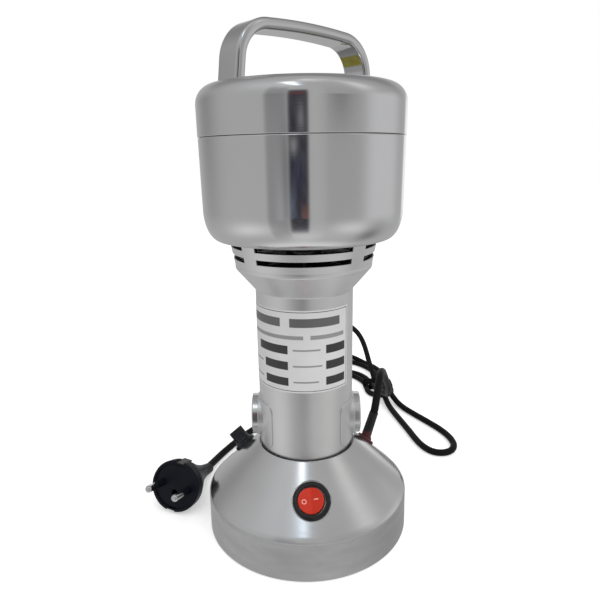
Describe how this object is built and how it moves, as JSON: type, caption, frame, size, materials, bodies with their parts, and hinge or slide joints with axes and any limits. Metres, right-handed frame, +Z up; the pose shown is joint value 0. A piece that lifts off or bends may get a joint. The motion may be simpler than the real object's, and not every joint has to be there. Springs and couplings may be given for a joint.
{
  "type": "electric grain mill",
  "caption": "Upright electric mill with a lidded steel grinding chamber on a slim motor housing, a cone-shaped cast base, a rocker switch and a mains cord with plug.",
  "frame": {"origin": "centre of the base, on the surface that the rubber feet stand on", "axes": "+Z up along the motor shaft; -Y towards the rocker switch; +X towards the cord outlet"},
  "size_m": [0.225, 0.3392, 0.2933],
  "materials": {
    "base_aluminium": "turned and polished above, as-cast satin band below",
    "housing_aluminium": "fine satin, lightly lacquered",
    "chamber_steel": "spun and polished, with a fine grain round the axis",
    "handle_chrome": "bright polished",
    "bowl_steel": "satin drawn stainless",
    "plain_steel": "zinc plated or bright turned",
    "blade_steel": "ground stainless",
    "lamination_steel": "stacked sheet",
    "bracket_aluminium": "as cast",
    "copper": "bare copper or enamelled wire",
    "brass": "plain",
    "carbon": "graphite block",
    "holder_plastic": "phenolic moulding",
    "fan_plastic": "nylon moulding",
    "switch_black": "glossy black moulding",
    "rocker_red": "translucent red moulding",
    "fuse_black": "black phenolic moulding",
    "fuse_glass": "glass tube with plated end caps",
    "outlet_rubber": "dark maroon grommet with black sleeve",
    "feet_rubber": "moulded",
    "seal_rubber": "moulded nitrile lip",
    "seal_silicone": "translucent white silicone",
    "cord_pvc": "soft black PVC",
    "tie_plastic": "plastic-coated wire",
    "plug_plastic": "moulded PVC",
    "pin_nickel": "nickel plated"
  },
  "bodies": {
    "housing": {"base_shell": "base_aluminium", "base_plate": "plain_steel", "rubber_feet": "feet_rubber", "base_screws": "plain_steel", "switch_bezel": "switch_black", "fuse_holder": "fuse_black", "fuse_cartridge": "fuse_glass", "cord_outlet": "outlet_rubber", "motor_housing": "housing_aluminium", "housing_screws": "plain_steel", "brush_cap_left": "housing_aluminium", "brush_cap_right": "housing_aluminium", "brush_holder_left": "holder_plastic", "brush_holder_right": "holder_plastic", "carbon_brush_left": "carbon", "carbon_brush_right": "carbon", "brush_spring_left": "brass", "brush_spring_right": "brass", "stator_core": "lamination_steel", "stator_windings": "copper", "lower_bearing": "plain_steel", "upper_bearing": "plain_steel", "lower_bracket": "bracket_aluminium", "upper_bracket": "bracket_aluminium", "bracket_screws": "plain_steel", "chamber_casing": "chamber_steel", "grinding_bowl": "bowl_steel", "bowl_collar": "bowl_steel", "bowl_screws": "plain_steel", "shaft_seal": "seal_rubber", "cord_lead": "cord_pvc", "cord_loop": "cord_pvc", "cord_hank": "cord_pvc", "cord_tie": "tie_plastic", "cord_tail": "cord_pvc", "plug_body": "plug_plastic", "plug_pins": "pin_nickel", "plug_earth_clips": "pin_nickel"},
    "rotor": {"armature_core": "lamination_steel", "armature_windings": "copper", "commutator": "copper", "motor_shaft": "plain_steel", "cooling_fan": "fan_plastic", "lower_blade": "blade_steel", "upper_blade": "blade_steel", "blade_spacer": "plain_steel", "blade_washer": "plain_steel", "blade_nut": "plain_steel"},
    "rocker": {"switch_rocker": "rocker_red"},
    "fuse_cap": {"fuse_cap": "fuse_black"},
    "lid_seal": {"lid_seal": "seal_silicone"},
    "lid": {"lid_shell": "chamber_steel", "lid_ring": "bowl_steel", "lid_handle": "handle_chrome", "handle_screws": "plain_steel"}
  },
  "joints": [
    {"name": "lid_lift", "type": "slide", "parent": "housing", "child": "lid_seal", "axis": [0, 0, 1], "range_m": [0, 0.06]},
    {"name": "lid_turn", "type": "hinge", "parent": "lid_seal", "child": "lid", "pos_m": [0, 0, 0.23582], "axis": [0, 0, 1], "range_deg": [0, 450]},
    {"name": "rotor_spin", "type": "hinge", "parent": "housing", "child": "rotor", "pos_m": [0, 0, 0.12], "axis": [0, 0, 1], "continuous": true},
    {"name": "rocker_tip", "type": "hinge", "parent": "housing", "child": "rocker", "pos_m": [0.0023, -0.0438, 0.03857], "axis": [-0.0376, 0.7184, 0.6947], "range_deg": [0, 16]},
    {"name": "fuse_cap_turn", "type": "hinge", "parent": "housing", "child": "fuse_cap", "pos_m": [-0.04124, 0.01923, 0.04087], "axis": [-0.6296, 0.2936, 0.7193], "range_deg": [0, 90]}
  ]
}
